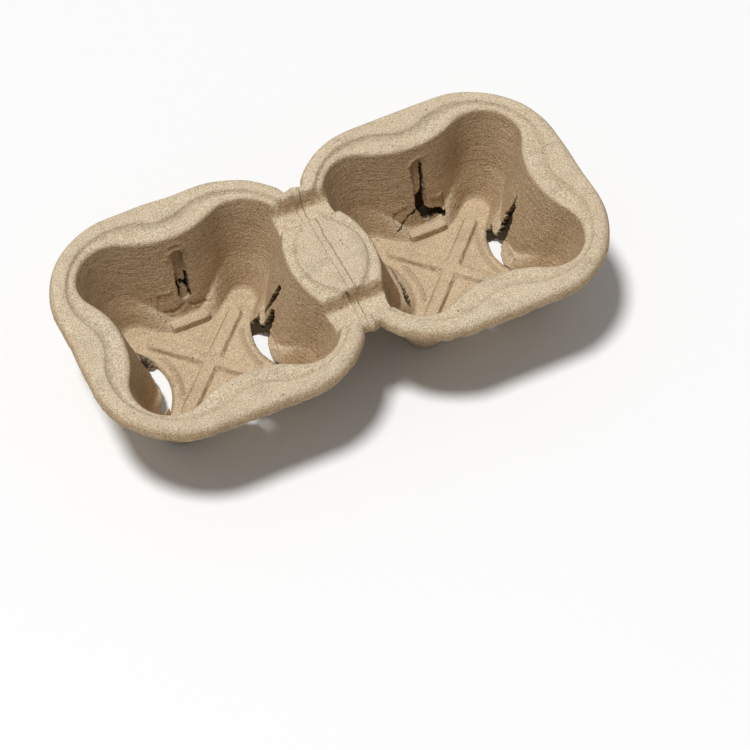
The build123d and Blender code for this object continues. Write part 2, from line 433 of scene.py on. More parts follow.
# %% One half cell from a flat grid
def half_cell(g, size, columns, rows):
    """A flat grid, moved point by point to the shape of half a cell."""
    grid = g.node("GeometryNodeMeshGrid", {}, {"Size X": rows, "Vertices X": rows + 1,
                                               "Size Y": columns[-1][0],
                                               "Vertices Y": columns[-1][0] + 1})
    px, py, _ = g.axes(g.node("GeometryNodeInputPosition"))
    row = px + rows / 2
    turn = g.math("RADIANS", g.stations(py + columns[-1][0] / 2, columns))
    cosine, sine = g.math("COSINE", turn), g.math("SINE", turn)
    quarter = g.math("MODULO", turn, math.pi / 2)
    fold = g.math("MINIMUM", quarter, math.pi / 2 - quarter)
    part = {name: g.ramp(row, *span) for name, span in ROW_SPANS.items()}
    curl = math.pi / 2 * part["mouth"]
    lip = math.pi / 2 * part["lip"]

    low = g.mix(g.math("GREATER_THAN", sine, abs(cosine)), SIDE_FOOT, BAR_FOOT)
    rise = g.mix(g.ramp(fold, *FOOT_TURNS, soft=True), low, LOBE_FOOT)
    pocket = pocket_reach(g, size, part, fold, curl, rise) * g.stations(row, FLOOR_ROWS)
    reach = g.mix(part["ledge"], pocket, step_reach(g, size, fold, cosine, 0.0))
    reach = g.mix(part["step"], reach, step_reach(g, size, fold, cosine, STEP_SLOPE))
    reach = g.mix(part["rim"], reach, edge_reach(g, size, turn, fold, sine, cosine))
    x, y = reach * cosine, reach * sine
    out = LIP_RADIUS * g.math("SINE", lip)
    across, beside = out_of_rim(g, size, turn, x, y)
    x, y = x + across * out, y + beside * out

    z = (FLOOR_LEVEL + rise * part["foot"]
         + (WALL_FALL + FLOOR_RADIUS - rise) * part["wall"]
         + MOUTH_RADIUS * g.math("SINE", curl) + STEP_DEPTH * part["step"]
         - LIP_RADIUS * (1.0 - g.math("COSINE", lip)) - (LIP_DROP - LIP_RADIUS) * part["skirt"])
    x = x + size["Pitch"] / 2
    z = g.math("SMOOTH_MIN", z, saddle_level(g, x, y), SADDLE_ROUNDING)
    return g.node("GeometryNodeSetPosition", {}, {"Geometry": grid, "Position": g.vector(x, y, z)})


# %% [markdown]
# ## Both halves of both cells
#
# One half cell is mirrored to its other half, and the cell to the other cell. A mirrored sheet is
# inside out, so its faces are flipped back before the four parts are joined and their shared points
# merged. Then the whole sheet is made a little uneven, as pulp is when it has dried.

# %% The whole sheet as one tree
def sheet_tree():
    """The whole sheet, from two grids and their mirror images."""
    tree, g, size = shape_tree("pulp sheet", {
        "Pitch": PITCH, "Half size": HALF_SIZE, "Corner radius": CORNER_RADIUS,
        "Ledge lobe centre": LEDGE[0], "Ledge lobe radius": LEDGE[1],
        "Mouth lobe centre": MOUTH[0], "Mouth lobe radius": MOUTH[1],
        "Foot lobe centre": SHOULDER[0], "Foot lobe radius": SHOULDER[1],
        "Floor lobe radius": FLOOR_LOBE,
        "Warp": 0.35, "Warp scale": 0.045, "Seed": 4.0})
    outside = half_cell(g, size, OUTER_COLUMNS, ROW_SPANS["skirt"][1])
    bridge = half_cell(g, size, BRIDGE_COLUMNS, ROW_SPANS["rim"][1])
    sheet = g.node("GeometryNodeJoinGeometry", {}, {"Geometry": [outside, bridge]})
    for flip in ((1, -1, 1), (-1, 1, 1)):
        other = g.node("GeometryNodeTransform", {}, {"Geometry": sheet, "Scale": flip})
        other = g.node("GeometryNodeFlipFaces", {}, {"Mesh": other})
        sheet = g.node("GeometryNodeJoinGeometry", {}, {"Geometry": [sheet, other]})
    sheet = g.node("GeometryNodeMergeByDistance", {}, {"Geometry": sheet, "Distance": 0.02})

    place = g.node("GeometryNodeInputPosition")
    warp = g.node("ShaderNodeTexNoise", {"noise_dimensions": "4D"},
                  {"Vector": place, "W": size["Seed"], "Scale": size["Warp scale"], "Detail": 1.0},
                  "Color")
    warp = g.node("ShaderNodeVectorMath", {"operation": "SUBTRACT"}, {0: warp, 1: (0.5, 0.5, 0.5)})
    warp = g.node("ShaderNodeVectorMath", {"operation": "SCALE"},
                  {0: warp, "Scale": size["Warp"] * 4.0})
    sheet = g.node("GeometryNodeSetPosition", {}, {"Geometry": sheet, "Offset": warp})
    finish_tree(g, sheet, size["Material"])
    return tree


pulp = bpy.data.materials.new("moulded_pulp")
sheet = grown_mesh(sheet_tree(), {"Material": pulp}, "sheet")
print("sheet points:", len(sheet.vertices), "faces:", len(sheet.polygons))

# %% [markdown]
# ## Where the openings are
#
# Each pocket side has a T-shaped opening, so that a tall cup can spread the wall: a narrow stem, and
# a wide crosspiece along the edge of the floor. The mould has no screen there, but some pulp always
# bridges the gap. It dries to a thin web, and when the carrier is pulled off its mould that web tears
# differently on every side. So the holes are not eight copies of one shape. Each is its own outline,
# and what is left of the web shows as a sunken stem, a loose flap or a crack along the floor's edge.
#
# Where the web has torn on one side only, it hangs bent away behind the wall, and there the tear is
# a pit, painted black as a painted shadow, and not a hole that can be seen through.
#
# An outline is drawn on the wall laid flat. Its first number runs along the side, its second is the
# height under the rim. Where the wall turns into the floor, the height simply goes on falling with
# the distance, so one outline can cover both. Outlines are kept by cell, 0 for the left one and 1 for
# the right one, and by side: 0 is the right side, 1 the back, 2 the left and 3 the front.

# %% Outlines of the torn holes, in mm
BACK_SPLIT = [(-2.0, -10.7), (-2.5, -11.5), (-2.5, -17.2), (-2.1, -21.7), (-1.8, -32.0), (-2.7, -33.5),
              (-4.5, -34.5), (-6.4, -34.7), (-8.3, -36.0), (-10.3, -38.6), (-9.8, -42.1),
              (-8.5, -41.0), (-8.2, -39.1), (-5.4, -38.2), (-0.7, -38.2), (0.4, -37.4), (1.1, -34.3),
              (2.3, -32.4), (3.7, -33.2), (6.1, -34.5), (7.8, -36.0), (10.6, -40.4), (12.4, -43.2),
              (12.3, -42.0), (9.2, -37.2), (7.8, -35.2), (6.0, -33.6), (3.9, -32.3), (2.9, -31.7),
              (2.8, -29.3), (2.2, -26.1), (1.0, -24.9), (-0.7, -24.0), (-1.1, -22.6), (-1.5, -14.6)]
HOLES = {
    (0, 0): [[(0.5, -37.4), (-0.8, -38.1), (-1.3, -39.5), (-4.2, -41.9), (-6.4, -43.6), (-8.9, -45.5),
              (-11.2, -47.2), (-13.0, -47.7), (-16.0, -50.0), (-16.0, -56.0), (6.6, -56.0),
              (6.3, -47.2), (5.2, -43.9), (3.2, -40.0)]],
    (1, 0): [[(1.8, -37.4), (1.2, -38.7), (0.3, -40.6), (0.1, -41.9), (-1.4, -42.3), (-2.8, -44.4),
              (-4.6, -45.7), (-6.9, -47.2), (-9.2, -47.5), (-14.0, -50.0), (-15.0, -56.0),
              (8.8, -56.0), (7.3, -46.4), (6.0, -42.3), (4.2, -40.9)]],
    (0, 2): [[(-5.9, -38.1), (-3.0, -37.6), (0.5, -37.1), (3.0, -37.7), (5.9, -38.9), (10.9, -37.8),
              (14.4, -35.4), (16.5, -35.9), (17.4, -38.4), (17.3, -44.2), (14.6, -46.8),
              (16.5, -50.0), (16.5, -56.0), (-8.0, -56.0), (-8.0, -48.2), (-8.6, -45.4),
              (-7.7, -41.1)]],
    (0, 3): [[(-x, v) for x, v in reversed(BACK_SPLIT)]],
    (1, 3): [[(-2.1, -12.0), (-1.9, -30.0), (-3.2, -36.5), (-9.5, -40.5), (-11.0, -56.0), (9.0, -56.0),
              (8.2, -43.0), (2.0, -41.5), (0.6, -36.0), (-0.6, -31.0), (-1.4, -22.0)]],
}
PITS = {
    (0, 0): [[(4.3, -14.3), (3.0, -14.6), (3.1, -18.3), (4.1, -22.7), (5.1, -26.0), (6.3, -28.9),
              (7.7, -32.3), (8.5, -35.6), (9.5, -35.7), (8.8, -31.9), (7.6, -27.2), (6.9, -22.9),
              (5.6, -18.5)],
             [(4.0, -27.8), (2.0, -26.1), (0.7, -28.6), (0.8, -32.4), (0.4, -35.2), (0.7, -37.0),
              (-0.8, -38.1), (-0.8, -56.0), (12.5, -56.0), (10.9, -45.9), (10.3, -42.2),
              (10.7, -39.1), (9.4, -39.1), (8.3, -40.2), (6.7, -40.6), (5.8, -39.8), (6.0, -37.7),
              (5.4, -35.1), (5.0, -32.5), (4.5, -29.2)]],
    (1, 0): [[(5.3, -16.4), (4.6, -20.6), (2.8, -20.9), (2.9, -22.4), (3.6, -25.4), (2.2, -26.4),
              (2.0, -28.4), (1.8, -31.7), (1.3, -34.7), (1.7, -37.1), (1.2, -38.7), (0.3, -40.6),
              (0.1, -56.0), (13.0, -56.0), (11.0, -45.9), (12.2, -43.1), (10.2, -42.1),
              (8.4, -42.7), (6.4, -42.0), (6.6, -39.4), (7.4, -37.0), (8.6, -36.5), (7.7, -33.7),
              (7.2, -30.6), (8.8, -30.7), (7.0, -26.8), (6.0, -23.4), (5.6, -19.8)]],
    (0, 1): [[(0.3, -23.6), (-0.7, -23.3), (-1.3, -24.4), (-2.3, -24.5), (-3.2, -23.6),
              (-3.3, -27.0), (-2.4, -27.8), (-2.0, -26.8), (-1.4, -25.6), (-0.6, -26.0), (0.1, -25.4)],
             [(1.45, -19.5), (1.1, -24.1), (1.0, -26.2), (0.3, -26.6), (1.0, -28.0), (0.9, -29.3),
              (1.6, -30.2), (1.8, -25.0)],
             [(-3.1, -15.0), (-2.8, -22.0), (-2.7, -30.0), (-2.9, -32.0), (-3.4, -31.0), (-3.4, -22.0)]],
    (1, 1): [BACK_SPLIT],
    (0, 2): [[(-21.5, -46.5), (-16.5, -40.0), (-12.8, -36.4), (-8.3, -36.6), (-5.7, -37.6),
              (-7.7, -41.1), (-8.6, -45.4), (-8.0, -56.0), (-21.0, -56.0)]],
    (1, 2): [[(-14.5, -49.5), (-10.2, -46.0), (-6.8, -42.9), (-3.3, -41.2), (-0.9, -40.6),
              (2.3, -40.9), (5.4, -40.0), (9.5, -39.0), (11.7, -40.4), (11.9, -44.3), (9.5, -44.6),
              (6.0, -44.0), (3.0, -43.2), (-0.1, -43.3), (-2.7, -42.5), (-7.0, -44.8),
              (-11.6, -49.0)]],
}
print("sides with holes:", len(HOLES), "with pits:", len(PITS))

# %% [markdown]
# ## Reading a place on the wall
#
# Every point near an opening is turned into its cell, its side and its two numbers on that side. Then
# ordinary plane geometry gives the distance to an outline, below zero inside it.
#
# A tear is ragged twice over: its line wanders in waves of a few millimetres, where bunches of fibre
# pulled apart, and single fibres fray it. So two noises are added to the distance, each given by its
# grain and its amount in millimetres.

# %% Distances on the side walls
FAR = 5.0
TEAR_TOP = -8.0
TEAR_ASIDE = 30.0
TEAR_ON_FLOOR = 3.0
FLOOR_KEPT = 0.1
TEAR_WAVE = (3.0, 0.45)
TEAR_FRAY = (1.1, 0.35)
HOLE_ROUGHNESS = 1.0
PIT_ROUGHNESS = 0.45


def section_reach(fold, centre, radius, lean):
    """Distance from the cup's centre to a lobed section."""
    lean = math.radians(lean)
    far = centre * (1 + 1 / math.tan(lean))
    hollow = centre / math.sin(lean) - radius
    meet = math.atan2(centre - radius * math.sin(lean), centre + radius * math.cos(lean))
    sine, cosine = math.sin(fold), math.cos(fold)
    if fold < meet:
        return far * cosine - math.sqrt(max(hollow ** 2 - (far * sine) ** 2, 0))
    return centre * (cosine + sine) + math.sqrt(radius ** 2 - (centre * (cosine - sine)) ** 2)


def on_side(point):
    """Cell and side, place along the side, height on the flat wall, and distance past the floor."""
    x, y, z = (value / MM for value in point)
    cell = 0 if x < 0 else 1
    x -= CELLS[cell]
    side = round(math.atan2(y, x) / (math.pi / 2)) % 4
    away = (x, y, -x, -y)[side]
    along = (y, -x, -y, x)[side]
    fold = abs(math.atan2(along, away))
    reach = math.hypot(along, away)
    past_floor = reach - section_reach(fold, SHOULDER[0], FLOOR_LOBE, FLOOR_TURN)
    level = z - HEIGHT - max(section_reach(fold, *SHOULDER) - reach, 0)
    return (cell, side), along, level, past_floor


def to_line(px, py, points, closed=False):
    """Distance from a point to a line of points, and whether the point is inside it."""
    best, inside = 1e9, False
    first = points[-1] if closed else points[0]
    for second in points if closed else points[1:]:
        ax, ay, bx, by = *first, *second
        dx, dy = bx - ax, by - ay
        share = ((px - ax) * dx + (py - ay) * dy) / max(dx * dx + dy * dy, 1e-9)
        share = min(max(share, 0), 1)
        best = min(best, math.hypot(px - ax - share * dx, py - ay - share * dy))
        if (ay > py) != (by > py) and px < ax + (py - ay) / (by - ay) * dx:
            inside = not inside
        first = second
    return -best if inside and closed else best


def ragged(point, size, amount):
    """A noise of a given grain size that makes a torn edge wander."""
    return amount * noise.noise(point / (size * MM))


def to_tear(point, outlines, roughness):
    """Distance in mm to the ragged edge of the nearest outline, below zero inside it."""
    where, along, level, past_floor = on_side(point)
    near = level <= TEAR_TOP and abs(along) <= TEAR_ASIDE and past_floor >= -TEAR_ON_FLOOR
    if not near or where not in outlines:
        return FAR
    torn = roughness * (ragged(point, *TEAR_WAVE) + ragged(point, *TEAR_FRAY))
    best = min(to_line(along, level, outline, closed=True) for outline in outlines[where])
    return max(best + torn, FLOOR_KEPT - past_floor)


def hole(point):
    """Distance to the edge of a hole."""
    return to_tear(point, HOLES, HOLE_ROUGHNESS)


def pit(point):
    """Distance to the edge of a dark pit, whose edge is cleaner than a hole's."""
    return to_tear(point, PITS, PIT_ROUGHNESS)


print("cell and side behind the left cup:", on_side(Vector((CELLS[0], 36, 20)) * MM)[0])

# %% [markdown]
# ## Sunken stems, ridges and wrinkles
#
# Where the web is whole, it lies lower than the wall, with a crisp edge. Around it the wet pulp has
# been pulled into small ridges and wrinkles, which run in curves across the foot of the wall. They
# are drawn as lines on the flat wall too, each with its height. A stem is given by its middle along
# the side, its half width, its top, its bottom and its depth.

# %% Stems and wrinkles
STEMS = {(0, 1): (-0.9, 2.35, -9.7, -32.9, 1.5), (1, 1): (0.1, 2.5, -8.9, -34.0, 1.2),
         (0, 3): (0.0, 2.4, -9.2, -34.0, 0.9), (1, 3): (0.0, 2.4, -9.2, -34.0, 0.9)}
WRINKLES = {
    (0, 0): [(0.55, [(0.1, -36.2), (-2.6, -36.4), (-6.2, -37.1), (-8.8, -38.1), (-10.7, -38.7)])],
    (1, 0): [(0.55, [(0.6, -37.0), (-3.5, -38.1), (-6.0, -38.5), (-8.3, -38.8), (-10.5, -39.6)]),
             (0.3, [(-9.1, -28.7), (-11.5, -29.0), (-13.6, -29.2)])],
    (0, 1): [(0.45, [(10.1, -27.6), (8.1, -27.1), (6.3, -27.8), (4.6, -26.8)]),
             (-0.6, [(8.8, -36.6), (6.5, -37.1), (4.1, -36.6), (2.4, -35.7), (0.8, -34.5)]),
             (-0.6, [(-1.9, -34.8), (-2.9, -36.4), (-5.0, -37.2), (-7.4, -37.2), (-9.3, -38.4),
                     (-10.9, -40.2)]),
             (-0.4, [(10.0, -29.2), (11.1, -35.9), (10.6, -39.7), (9.0, -42.0)]),
             (0.35, [(1.9, -6.1), (-0.3, -5.8), (-2.5, -6.4), (-4.2, -8.9)]),
             (0.4, [(3.6, -11.7), (1.9, -9.2), (-0.1, -8.4), (-2.6, -8.9), (-3.9, -10.6)])],
    (1, 1): [(0.45, [(3.2, -10.9), (1.6, -8.7), (-1.2, -7.8), (-3.5, -8.7)]),
             (0.5, [(11.5, -31.4), (9.9, -30.0), (6.9, -29.2)]),
             (0.5, [(-4.4, -29.1), (-7.3, -30.3), (-9.7, -30.1)]),
             (-0.5, [(11.6, -32.4), (12.4, -36.5), (11.8, -40.0)]),
             (-0.5, [(-10.4, -31.5), (-10.6, -34.5), (-10.2, -38.2)])],
}
WRINKLES[0, 3] = [(rise, [(-x, v) for x, v in line]) for rise, line in WRINKLES[1, 1]]
WRINKLES[1, 3] = WRINKLES[0, 1]
WRINKLE_WIDTH = 0.5
WRINKLE_REACH = 14.0
STEM_BEVEL = 0.35
PIT_BEVEL = 0.16
PIT_DEPTH = 2.2
STEP_SHADE_WIDTH = 0.9


def stem(point):
    """Distance in mm to the edge of a sunken stem, below zero inside it."""
    where, along, level, _ = on_side(point)
    if where not in STEMS:
        return FAR
    middle, half, top, bottom, _ = STEMS[where]
    end = min(max(level, bottom + half), top - half)
    return math.hypot(along - middle, level - end) - half


def from_step(point):
    """Distance in mm, in plan, from the foot of the step round the ledge."""
    x, y, z = (value / MM for value in point)
    x = abs(x) - PITCH / 2
    if z < HEIGHT - STEP_DEPTH - WALL:
        return FAR
    quarter = math.atan2(abs(y), -x) % (math.pi / 2)
    ledge = math.hypot(x, y) - section_reach(min(quarter, math.pi / 2 - quarter), *LEDGE)
    pad = PAD_ARC + STEP_SLOPE - math.hypot(x + PITCH / 2 + PAD_ARC - PAD_HALF_WIDTH, y)
    if abs(y) > SADDLE_INNER[0] or x > 0:
        return abs(ledge)
    return min(abs(ledge), abs(pad)) if max(ledge, pad) < STEP_SHADE_WIDTH else FAR


def wrinkle(point):
    """How far the wrinkles press a point of the wall outwards, in mm."""
    where, along, level, _ = on_side(point)
    depth = 0.0
    for rise, line in WRINKLES.get(where, []):
        if abs(along - line[0][0]) < WRINKLE_REACH:
            depth -= rise * math.exp(-(to_line(along, level, line) / WRINKLE_WIDTH) ** 2)
    return depth


def sunk(point):
    """How far the stem and the pits lie outside the wall's smooth place, in mm."""
    where = on_side(point)[0]
    depth = 0.0
    if where in STEMS:
        depth += STEMS[where][4] * min(max(-stem(point) / STEM_BEVEL, 0), 1)
    return depth + PIT_DEPTH * min(max(-pit(point) / PIT_BEVEL, 0), 1)


print("sunken stems:", len(STEMS), "wrinkles:", sum(len(lines) for lines in WRINKLES.values()))

# %% [markdown]
# ## Finer faces where the pulp is torn
#
# Near the tears the sheet's faces are halved until they are about half a millimetre, and the rim's
# lower edge, which is ragged too, until they are about one. Everywhere else the sheet's own faces
# are fine enough, and it stays light. Levels are counted from the rim's top, as in the outlines.

# %% Refine the sheet near its details
TEAR_FACE = 0.8
WRINKLE_FACE = 0.95
RIM_FACE = 1.5
PLAIN_FACE = 9.0
TEAR_BAND = 1.1
WRINKLE_BAND = 1.0
LIP_LEVELS = (-12.0, -3.8)
WALL_TOP = -4.0
MOST_HALVINGS = 4


def past_rim(point):
    """How far a point is outside the rounded square of its cell, in mm."""
    x, y, _ = (value / MM for value in point)
    x -= CELLS[0 if x < 0 else 1]
    return math.hypot(max(abs(x) - KNEE, 0), max(abs(y) - KNEE, 0)) - CORNER_RADIUS


def longest_edge(point):
    """The longest edge in mm that the sheet may have at a point."""
    where, along, level, past_floor = on_side(point)
    if LIP_LEVELS[0] < level < LIP_LEVELS[1] and past_rim(point) > -1.0:
        return RIM_FACE
    if level > WALL_TOP or past_floor < -1.5:
        return PLAIN_FACE
    if min(abs(stem(point)), abs(hole(point)), abs(pit(point))) < TEAR_BAND:
        return TEAR_FACE
    lines = WRINKLES.get(where, [])
    on_wrinkle = any(to_line(along, level, line) < WRINKLE_BAND for _, line in lines)
    return WRINKLE_FACE if on_wrinkle else PLAIN_FACE


def refine(bm):
    """Halve the edges near the details until they are short enough."""
    known = {}
    for _ in range(MOST_HALVINGS):
        chosen = []
        for edge in bm.edges:
            if edge.calc_length() < TEAR_FACE * MM:
                continue
            for vertex in edge.verts:
                if vertex not in known:
                    known[vertex] = longest_edge(vertex.co)
            if edge.calc_length() > min(known[vertex] for vertex in edge.verts) * MM:
                chosen.append(edge)
        if not chosen:
            break
        bmesh.ops.subdivide_edges(bm, edges=chosen, cuts=1, use_grid_fill=True)
        bmesh.ops.triangulate(bm, faces=[face for face in bm.faces if len(face.verts) > 4])


bm = bmesh.new()
bm.from_mesh(sheet)
refine(bm)
print("sheet points after refining:", len(bm.verts))

# %% [markdown]
# ## Cutting along a line
#
# Then the faces are split where a distance is zero, so that an edge follows the outline closely,
# whatever the faces' own layout is. What lies inside a hole is thrown away, with any loose scrap that
# the ragged outline has cut off. Stems and pits are only split, at their edge and again at the foot
# of their bevel, because they are pressed back later.

# %% Split and cut
FEWEST_POINTS = 2000


def split(bm, distance, snap=0.08):
    """Split the faces along the line where the distance is zero, and give each point's distance."""
    value = {vertex: distance(vertex.co) for vertex in bm.verts}
    value = {vertex: 0.0 if abs(d) < snap else d for vertex, d in value.items()}

    def crosses(face):
        return min(value[v] for v in face.verts) < 0 < max(value[v] for v in face.verts)

    bmesh.ops.triangulate(bm, faces=[face for face in bm.faces if crosses(face)])
    for edge in list(bm.edges):
        first, second = edge.verts
        if value[first] * value[second] < 0:
            share = value[first] / (value[first] - value[second])
            value[bmesh.utils.edge_split(edge, first, share)[1]] = 0.0
    for face in list(bm.faces):
        on_edge = [vertex for vertex in face.verts if value[vertex] == 0.0]
        if len(on_edge) == 2 and crosses(face):
            bmesh.utils.face_split(face, *on_edge)
    return value


def cut(bm, distance):
    """Throw away what lies where the distance is below zero."""
    value = split(bm, distance)
    gone = [face for face in bm.faces if min(value[v] for v in face.verts) < 0]
    bmesh.ops.delete(bm, geom=gone, context="FACES")
    loose = [vertex for vertex in bm.verts if not vertex.link_faces]
    bmesh.ops.delete(bm, geom=loose, context="VERTS")


def drop_scraps(bm):
    """Throw away loose scraps that a ragged edge has cut off."""
    seen = set()
    for start in list(bm.verts):
        if start in seen:
            continue
        island, queue = {start}, [start]
        while queue:
            for edge in queue.pop().link_edges:
                for vertex in edge.verts:
                    if vertex not in island:
                        island.add(vertex)
                        queue.append(vertex)
        seen |= island
        if len(island) < FEWEST_POINTS:
            bmesh.ops.delete(bm, geom=list(island), context="VERTS")


for distance, bevel in ((stem, STEM_BEVEL), (pit, PIT_BEVEL)):
    split(bm, distance)
    split(bm, lambda point: distance(point) + bevel, 0.04)
cut(bm, hole)
drop_scraps(bm)
print("sheet points after the openings:", len(bm.verts))

# %% [markdown]
# ## Ribs of the floor
#
# The floor carries a raised cross, which stiffens it and keeps a wet cup from sticking, and a thin
# curved rib along two of its sides. Their edges are crisp, because the fold of the mould is. So the
# floor's faces are split along the foot and along the top of each rib first, and again just beyond,
# which keeps the shading of the edge narrow. A painted shade darkens each rib's slope, and it is
# noted for each point while the rib's distance is at hand.

# %% Raise the ribs
RIB_REACH = 25.2
RIB_HALF = 3.4
RIB_RISE = 2.0
RIB_SLOPE = 1.2
RIB_GUARD = 0.3
RIB_BLEND = 1.5
ARC_CENTRE = 45.2
ARC_RADIUS = 29.7
ARC_HALF = 1.2
ARC_END = 9.2
ARC_RISE = 0.8
RIB_CEILING = 0.8
RIB_FIELD = 34.0
# How dark each place is painted: painted shade along ribs, steps, stems, wrinkles, folds and edges, and
# a painted black shadow in the pits.
PAINTED_SHADES = {"rib": 0.4, "step": 0.22, "stem": 0.14, "stem edge": 0.5, "groove": 0.6, "ridge": 0.2,
          "fold": 0.42, "foot": 0.16, "pit": 0.97, "pit edge": 0.35, "hole edge": 0.3,
          "left tear": 0.45, "right tear": 0.75}


def rib(point):
    """Distance in mm to the foot of the nearest rib, below zero on it, and the rib's height."""
    x, y, z = (value / MM for value in point)
    x -= CELLS[0 if x < 0 else 1]
    if z > HEIGHT + FLOOR_LEVEL + RIB_CEILING or math.hypot(x, y) > RIB_FIELD:
        return FAR, 0.0
    arms = []
    for lean in (1, -1):
        along, beside = (x + lean * y) * math.sqrt(0.5), (x - lean * y) * math.sqrt(0.5)
        arms.append(math.hypot(max(abs(along) - RIB_REACH, 0.0), beside))
    blend = max(RIB_BLEND - abs(arms[0] - arms[1]), 0.0)
    cross = min(arms) - blend * blend / 6 - RIB_HALF
    arc = abs(math.hypot(ARC_CENTRE - abs(x), y) - ARC_RADIUS)
    arc = math.hypot(arc, max(abs(y) - ARC_END, 0.0)) - ARC_HALF
    return (cross, RIB_RISE) if cross < arc else (arc, ARC_RISE)


for offset in (-RIB_GUARD, 0.0, RIB_SLOPE, RIB_SLOPE + RIB_GUARD):
    split(bm, lambda point: rib(point)[0] + offset, 0.05)
painted_shade = {}
for vertex in bm.verts:
    distance, rise = rib(vertex.co)
    vertex.co.z += rise * min(max(-distance / RIB_SLOPE, 0.0), 1.0) * MM
    # painted shade along the rib's slope
    painted_shade[vertex] = PAINTED_SHADES["rib"] * max(1 - abs(distance + RIB_SLOPE / 2), 0.0)
print("sheet points after the ribs:", len(bm.verts))

# %% [markdown]
# ## Two tear lines
#
# The bridge is scored along two lines, three millimetres apart, so that it tears straight. The right
# one has already cracked open over the pad, as happens when the carrier is bent once. Each line is
# given by its place, with half its width and its depth. Beyond the crack the right line keeps only
# a share of its depth.

# %% Score the bridge
TEAR_LINES = {-1.5: (0.3, 0.5), 1.5: (0.35, 1.4)}
TEAR_GUARD = 0.25
SCORED_HALF = 6.0
SCORED_DEPTH = 12.0
CRACK_FRONT, CRACK_BACK = -27, 17
UNCRACKED = 0.35


def score(bm, place, half, depth):
    """Press a groove across the bridge, a little crooked."""
    for aside in (-half - TEAR_GUARD, -half, 0, half, half + TEAR_GUARD):
        x = place + aside
        faces = [face for face in bm.faces
                 if abs(face.calc_center_median().x) < SCORED_HALF * MM]
        edges = list({edge for face in faces for edge in face.edges})
        verts = list({vertex for face in faces for vertex in face.verts})
        bmesh.ops.bisect_plane(bm, geom=faces + edges + verts, plane_co=(x * MM, 0, 0),
                               plane_no=(1, 0, 0), dist=0.00001)
    for vertex in bm.verts:
        x, y, z = (value / MM for value in vertex.co)
        if abs(x - place) > half + TEAR_GUARD + 0.02 or z < HEIGHT - SCORED_DEPTH:
            continue
        share = max(1 - abs(x - place) / half, 0)
        cracked = 1.0 if place < 0 or CRACK_FRONT < y < CRACK_BACK else UNCRACKED
        vertex.co.z -= share * depth * cracked * (0.8 + 0.5 * noise.noise((7, y / 2.5, 0))) * MM
        bend = 0.5 * noise.noise((place, y / 5, 3)) + 0.4 * noise.noise((place, y / 1.7, 5))
        vertex.co.x += bend * MM
        # painted shade in the tear line's groove
        painted_shade[vertex] = PAINTED_SHADES["left tear" if place < 0 else "right tear"] * share


for place, (half, depth) in TEAR_LINES.items():
    score(bm, place, half, depth)
print("sheet points after the tear lines:", len(bm.verts))

# %% [markdown]
# ## The uneven finish of the shape
#
# Each point near an opening moves out to its sunken place, and the rim's lower edge gets its ragged
# line. A weight says how thick the pulp is: two millimetres in most places, and much less at a torn
# edge, where only the last fibres hold. A shade says how dark the colour is painted: a painted black
# shadow in the depth of a pit, and a little painted brown shade along folds, grooves and edges.

# %% Move, thickness and shade of one point
THICK_TEARS = {(1, 0)}
THICK_WEIGHT = 0.75
THIN_WEIGHT = 0.35
STEM_WEIGHT = 0.45
PIT_WEIGHT = 0.3
TORN_WIDTH = 2.0
EDGE_SHADE_WIDTH = 0.6
FOLD_SHADE_WIDTH = 1.2
FOOT_SHADE_WIDTH = 10
RAGGED_FROM = 3.6
RAGGED_HEIGHT = 2.0
RAGGED_WAVES = ((9.0, 0.6), (3.1, 0.8), (1.2, 0.5))
RAGGED_DROP = 0.25
RAGGED_THINNING = 0.45
CLEARANCE = 0.2


def rim_finish(vertex, level):
    """Move and weight of a point on the rim's ragged lower edge."""
    point = vertex.co
    drop = (-level - RAGGED_FROM) / RAGGED_HEIGHT
    wave = sum(ragged(point, size, amount) for size, amount in RAGGED_WAVES)
    move = vertex.normal * -drop * abs(ragged(point, 4.0, 0.9))
    move.z += drop * (wave + RAGGED_DROP)
    return move, 1.0 - RAGGED_THINNING * min(drop, 1.0)


def wall_finish(vertex, where, past_floor, dark):
    """Move, weight and shade of a point on a wall."""
    point = vertex.co
    groove, torn, pitted, inside = wrinkle(point), hole(point), pit(point), -stem(point)
    least = THICK_WEIGHT if where in THICK_TEARS else THIN_WEIGHT
    weight = least + (1 - least) * min(torn / TORN_WIDTH, 1.0)
    # a sunken stem is painted a little darker, as painted shade in its recess; its edges, the wrinkles,
    # the floor's fold, the wall's foot and the edges of holes and pits get painted shade too
    if inside > 0:
        weight, dark = min(weight, STEM_WEIGHT), PAINTED_SHADES["stem"]
    dark = max(dark, PAINTED_SHADES["stem edge"] * (1 - abs(inside) / EDGE_SHADE_WIDTH),
               PAINTED_SHADES["groove"] * groove, -PAINTED_SHADES["ridge"] * groove,
               PAINTED_SHADES["fold"] * (1 - abs(past_floor) / FOLD_SHADE_WIDTH),
               PAINTED_SHADES["foot"] * (1 - abs(past_floor) / FOOT_SHADE_WIDTH))
    # the depth of a pit is painted black, as painted shadow
    if pitted < 0:
        weight, dark = PIT_WEIGHT, PAINTED_SHADES["pit"]
    dark = max(dark, PAINTED_SHADES["hole edge"] * (1 - min(abs(torn), 1.0)),
               PAINTED_SHADES["pit edge"] * (1 - min(abs(pitted) / EDGE_SHADE_WIDTH, 1.0)))
    return vertex.normal * -(sunk(point) + groove), weight, dark


# %% [markdown]
# ## All points at once
#
# The moves are worked out for the whole sheet first and made afterwards, because a distance read on a
# point that has already moved would be a little off.

